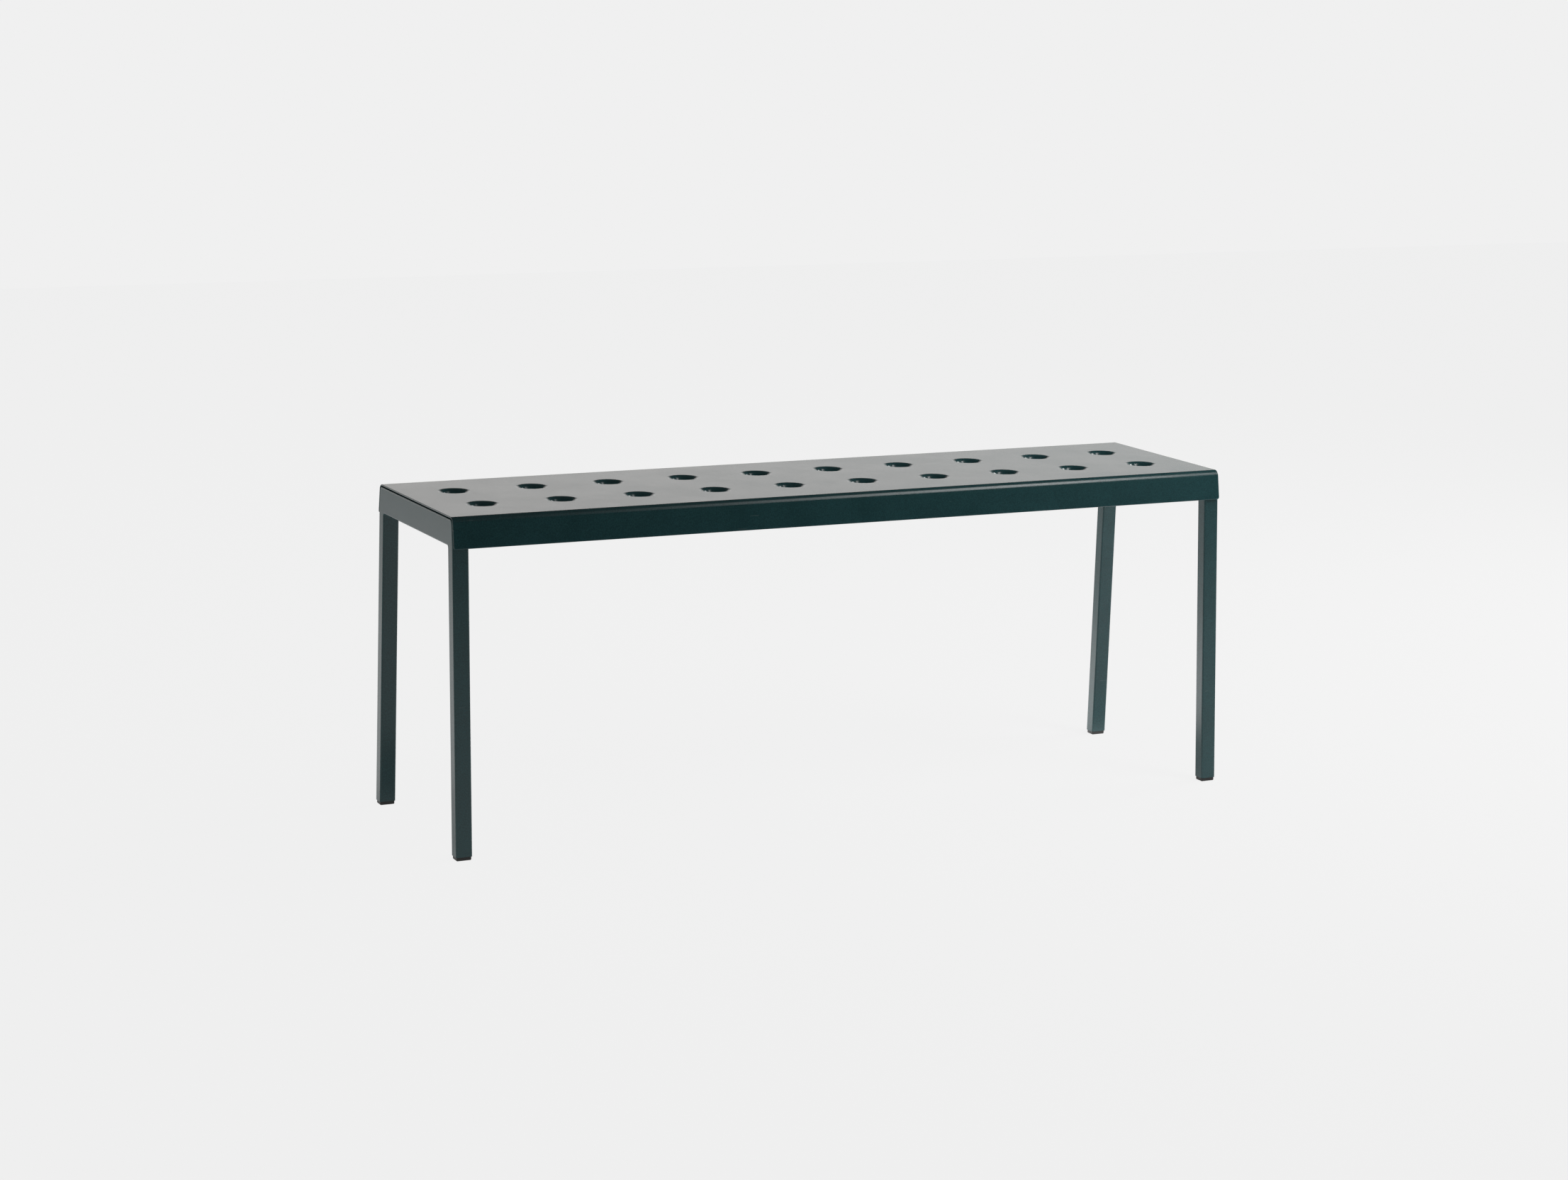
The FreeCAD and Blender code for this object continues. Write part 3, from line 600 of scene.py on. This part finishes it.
def make_seat(coat):
    """The whole seat sheet: twenty hole cells, the flat around them, two folds and two skirts."""
    sheet = Sheet()
    for row in (-1, 1):
        for column in range(HOLE_COLUMNS):
            x = HOLE_PITCH * (column - (HOLE_COLUMNS - 1) / 2)
            add_hole_cell(sheet, x, row * ROW_SPACING / 2)
    columns = skirt_columns()
    for side in (-1, 1):
        skirt = [fold_and_skirt(x, side) for x in columns]
        fold_y = skirt[0][0][0][1]
        border = steps(side * ROW_SPACING, fold_y, BORDER_STEPS)
        sheet.add_rows([[flat(x, y) for y in border] + points[1:] for x, points in zip(columns, skirt)])
    cells_end = HOLE_PITCH * HOLE_COLUMNS / 2
    across = steps(-ROW_SPACING, ROW_SPACING, 2 * POINTS_PER_CELL)
    for side in (-1, 1):
        ends = [x for x in columns if x * side > cells_end - 1e-6]
        sheet.add_rows([[flat(x, y) for y in across] for x in ends])
    sheet.close_rims()
    mesh = bpy.data.meshes.new("seat_sheet")
    sheet.mesh.to_mesh(mesh)
    sheet.mesh.free()
    mesh.shade_smooth()
    seat = bpy.data.objects.new("seat_sheet", mesh)
    scene.collection.objects.link(seat)
    seat.modifiers.new("weighted_normals", "WEIGHTED_NORMAL")
    mesh.materials.append(coat)
    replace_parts(seat, "seat_panel")
    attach(seat, "root")


# ---------------------------------------------------------------- the fixings

def add_turned(mesh, centre, rings, material=0):
    """Adds a body turned about an upright axis. Each ring is a height and a radius at each angle."""
    angles = [2 * math.pi * index / TURNED_SIDES for index in range(TURNED_SIDES)]
    rows = [[mesh.verts.new((centre[0] + radius(angle) * math.cos(angle),
                             centre[1] + radius(angle) * math.sin(angle), height))
             for angle in angles] for height, radius in rings]
    for row, following in zip(rows, rows[1:]):
        for index in range(TURNED_SIDES):
            after = (index + 1) % TURNED_SIDES
            face = mesh.faces.new((row[index], row[after], following[after], following[index]))
            face.material_index = material
    return rows


def even(radius):
    """The same radius at every angle."""
    return lambda angle: radius


def hexagon(chamfer):
    """A hexagon's radius at an angle, no larger than the chamfer's cone allows."""
    flat_radius = NUT_CORNER * math.cos(math.pi / 6)
    return lambda angle: min(flat_radius / math.cos(angle % (math.pi / 3) - math.pi / 6), chamfer)


def add_lock_nut(mesh, centre, bottom, top):
    """A hexagon chamfered above and below, a rolled collar under it, and the collar's insert."""
    under = top - NUT_HEXAGON
    cone = NUT_CORNER * math.cos(math.pi / 6) * NUT_CONE_SHARE
    bevels = [(drop, cone + drop * math.tan(math.pi / 3)) for drop in steps(0.0, NUT_CHAMFER, 6)]
    rings = [(under, even(THREAD_RADIUS)), (top, even(THREAD_RADIUS))]
    rings += [(top - drop, hexagon(radius)) for drop, radius in bevels]
    rings += [(under + drop, hexagon(radius)) for drop, radius in reversed(bevels)]
    rings += [(under, even(COLLAR_RADIUS + EASED)), (under - EASED, even(COLLAR_RADIUS))]
    roll = (COLLAR_RADIUS - COLLAR_MOUTH) / 2
    rings += [(bottom + roll - roll * math.sin(turn), even(COLLAR_MOUTH + roll + roll * math.cos(turn)))
              for turn in steps(0.0, math.pi, 10)]
    rings += [(bottom + INSERT_DEPTH, even(COLLAR_MOUTH)), (under, even(COLLAR_MOUTH))]
    rows = add_turned(mesh, centre, rings)
    for index in range(TURNED_SIDES):
        after = (index + 1) % TURNED_SIDES
        mesh.faces.new((rows[-1][index], rows[-1][after], rows[0][after], rows[0][index]))
    face = bottom + INSERT_DEPTH / 2
    insert = [(under, THREAD_RADIUS - EASED), (under, COLLAR_MOUTH),
              (face + EASED / 2, COLLAR_MOUTH), (face, COLLAR_MOUTH - EASED / 2),
              (face, THREAD_RADIUS + EASED / 2), (face + EASED, THREAD_RADIUS - EASED)]
    insert.append(insert[0])
    add_turned(mesh, centre, [(height, even(radius)) for height, radius in insert], material=1)


def add_stud(mesh, centre, bottom, top):
    """A stud with a rolled thread and a chamfered tip, and the flat root of its weld at the top."""
    def thread(height):
        def radius(angle):
            phase = ((height - bottom) / THREAD_PITCH - angle / (2 * math.pi)) % 1.0
            groove = THREAD_DEPTH * min(1.0, 1.25 * (1.0 - abs(2.0 * phase - 1.0)))
            return min(THREAD_RADIUS - groove, STUD_TIP + (height - bottom))
        return radius

    root_radius = STUD_ROOT["radius"]
    root = top - STUD_ROOT["gauge"]
    rings = [(height, thread(height)) for height in steps(bottom, bottom + THREAD_LENGTH, 78)]
    rings += [(bottom + THREAD_LENGTH + THREAD_RUN_OUT, even(THREAD_RADIUS)),
              (root - 2 * EASED, even(THREAD_RADIUS)), (root, even(THREAD_RADIUS + 2 * EASED)),
              (root, even(root_radius - EASED)), (root + EASED, even(root_radius)),
              (top, even(root_radius))]
    rows = add_turned(mesh, centre, rings)
    mesh.faces.new(list(reversed(rows[0])))
    mesh.faces.new(rows[-1])


def add_bead(mesh, x, y, top):
    """A short rippled fillet weld, down one side of a tab."""
    sides = BEAD["sides"]
    angles = [2 * math.pi * side / sides for side in range(sides)]
    rows = []
    for share in steps(0.0, 1.0, BEAD["rows"]):
        along = share * BEAD["length"]
        taper = math.sqrt(max(BEAD["end_area"], 1.0 - abs(2.0 * share - 1.0) ** 6))
        ripple = 1.0 + BEAD["ripple"] * abs(math.sin(math.pi * along / BEAD["ripples_apart"]))
        radius = BEAD["radius"] * taper * ripple
        rows.append([mesh.verts.new((x + radius * math.cos(angle), y + radius * math.sin(angle),
                                     top - along - BEAD["sag"] * radius * math.cos(2 * angle)))
                     for angle in angles])
    for row, following in zip(rows, rows[1:]):
        for side in range(sides):
            after = (side + 1) % sides
            mesh.faces.new((row[side], row[after], following[after], following[side]))
    mesh.faces.new(rows[0])
    mesh.faces.new(list(reversed(rows[-1])))


def add_spot(mesh, x, y, height):
    """A resistance weld's shallow mark on a flange's underside."""
    rows = add_turned(mesh, (x, y), [(height - SPOT["height"] * drop, even(SPOT["radius"] * size))
                                     for drop, size in SPOT["profile"]])
    mesh.faces.new(list(reversed(rows[0])))
    mesh.faces.new(rows[-1])


def finish_piece(mesh, name, materials):
    """Turns a bmesh into a shown piece that rides with the bench."""
    bmesh.ops.recalc_face_normals(mesh, faces=mesh.faces)
    for face in mesh.faces:
        face.smooth = True
    for edge in mesh.edges:
        edge.smooth = edge.calc_face_angle(math.pi) < SHARP_EDGE
    data = bpy.data.meshes.new(name)
    mesh.to_mesh(data)
    mesh.free()
    for material in materials:
        data.materials.append(material)
    piece = bpy.data.objects.new(name, data)
    scene.collection.objects.link(piece)
    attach(piece, "root")
    return piece


def make_fixings(end, zinc, plastic):
    """The threaded studs and the lock nuts at one end of the bench."""
    low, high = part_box(f"washers_{end}")
    x = (low[0] + high[0]) / 2
    for node, add, materials in ((f"weld_studs_{end}", add_stud, [zinc]),
                                 (f"lock_nuts_{end}", add_lock_nut, [zinc, plastic])):
        bottom, top = (corner[2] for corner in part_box(node))
        mesh = bmesh.new()
        for y in (-FIXING_Y, FIXING_Y):
            add(mesh, (x, y), bottom, top)
        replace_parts(finish_piece(mesh, f"{node}_detailed", materials), node)


def make_beads(end, coat):
    """The welds that hold an end frame's two tabs."""
    mesh = bmesh.new()
    for place in ("front", "rear"):
        low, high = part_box(f"fixing_tab_{place}_{end}")
        x = low[0] if end == "left" else high[0]
        for y in (low[1], high[1]):
            add_bead(mesh, x, y, high[2] - BEAD["from_top"])
    finish_piece(mesh, f"tab_welds_{end}", [coat])


def make_spots(coat):
    """The spot welds along both flanges of the stiffener."""
    low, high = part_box("centre_stiffener")
    mesh = bmesh.new()
    count = int((high[0] - low[0]) / SPOT["apart"])
    for index in range(count):
        for side in (-1, 1):
            add_spot(mesh, SPOT["apart"] * (index - (count - 1) / 2), side * (high[1] - SPOT["inset"]),
                     high[2] - STIFFENER_GAUGE)
    finish_piece(mesh, "stiffener_spot_welds", [coat])


make_camera()
make_world()
make_floor()
make_side_light()
make_softboxes()
coat = make_powder_coat("powder_coat_satin")
plastic = make_moulded_plastic("polyamide_black")
rubber = make_rubber("rubber_black")
zinc = make_zinc("zinc_bright")
FINISHES = {
    "centre_stiffener": coat,
    "end_rail": coat,
    "leg": coat,
    "fixing_tab": coat,
    "foot": plastic,
    "seat_pads": rubber,
    "washers": zinc,
}
for name in frame["nodes"]:
    for start, finish in FINISHES.items():
        if name.startswith(start):
            dress(name, finish)
make_seat(coat)
for end in ("left", "right"):
    make_fixings(end, zinc, plastic)
    make_beads(end, coat)
make_spots(coat)
